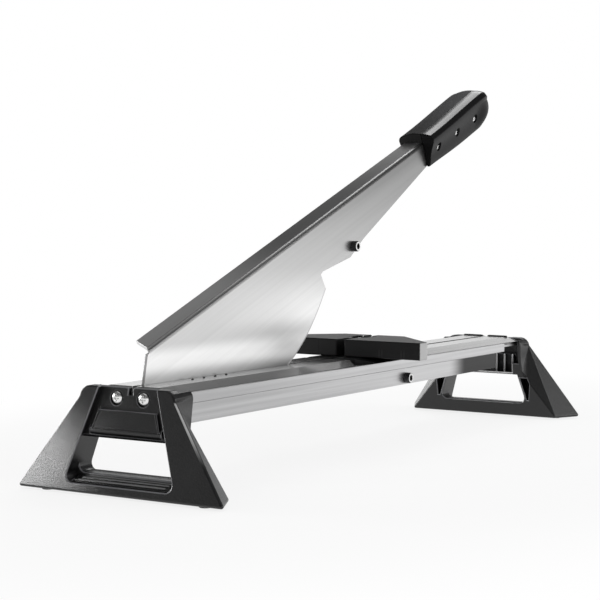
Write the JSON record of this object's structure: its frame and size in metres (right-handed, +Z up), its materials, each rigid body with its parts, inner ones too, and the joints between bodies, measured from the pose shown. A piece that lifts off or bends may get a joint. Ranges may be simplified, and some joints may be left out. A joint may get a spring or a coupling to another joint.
{
  "type": "laminate flooring cutter",
  "caption": "Lever guillotine for laminate planks: slotted aluminium base on black feet, hinged steel blade with a grip, and a swivelling fence.",
  "frame": {"origin": "On the floor, under the middle of the base", "axes": "X along the base from the hinge end to the far foot, Y from the front side to the rear side, Z up"},
  "size_m": [0.573, 0.17, 0.3008],
  "materials": {
    "aluminium": "satin drawn extrusion",
    "table_metal": "matte anodised",
    "blade_steel": "brushed",
    "black_plastic": "satin, fine grain",
    "grip_gloss": "semi-gloss",
    "grip_matte": "matte, textured",
    "black_steel": "blackened",
    "bright_screw": "zinc plated",
    "pad_rubber": "matte",
    "washer_plastic": "matte",
    "bush_brass": "turned"
  },
  "bodies": {
    "base": {"front_rail": "aluminium", "rear_rail": "aluminium", "front_table": "table_metal", "rear_table": "table_metal", "front_deck": "table_metal", "rear_deck": "table_metal", "front_fence_base": "black_plastic", "rear_fence_base": "black_plastic", "near_foot": "black_plastic", "far_foot": "black_plastic", "near_foot_screws": "bright_screw", "far_foot_screws": "bright_screw", "near_pads": "pad_rubber", "far_pads": "pad_rubber", "pivot_bolt": "bright_screw", "pivot_nut": "bright_screw", "pivot_washers": "washer_plastic", "tie_bolt": "black_steel", "tie_nut": "black_steel", "tie_spacer": "bright_screw", "tie_sleeves": "bright_screw", "fence_screw": "bright_screw", "fence_nut": "bright_screw"},
    "lever": {"blade": "blade_steel", "pivot_bush": "bush_brass", "stop_screw": "black_steel", "stop_nut": "black_steel", "grip_front": "grip_gloss", "grip_rear": "grip_matte", "grip_screws": "bright_screw"},
    "fence": {"fence_block": "black_plastic"}
  },
  "joints": [
    {"name": "lever_hinge", "type": "hinge", "parent": "base", "child": "lever", "pos_m": [-0.2465, 0, 0.0615], "axis": [0, -1, 0], "range_deg": [-17.5, 45]},
    {"name": "fence_swivel", "type": "hinge", "parent": "base", "child": "fence", "pos_m": [0.0525, 0, 0.0725], "axis": [0, 0, 1], "range_deg": [-2, 2]}
  ]
}
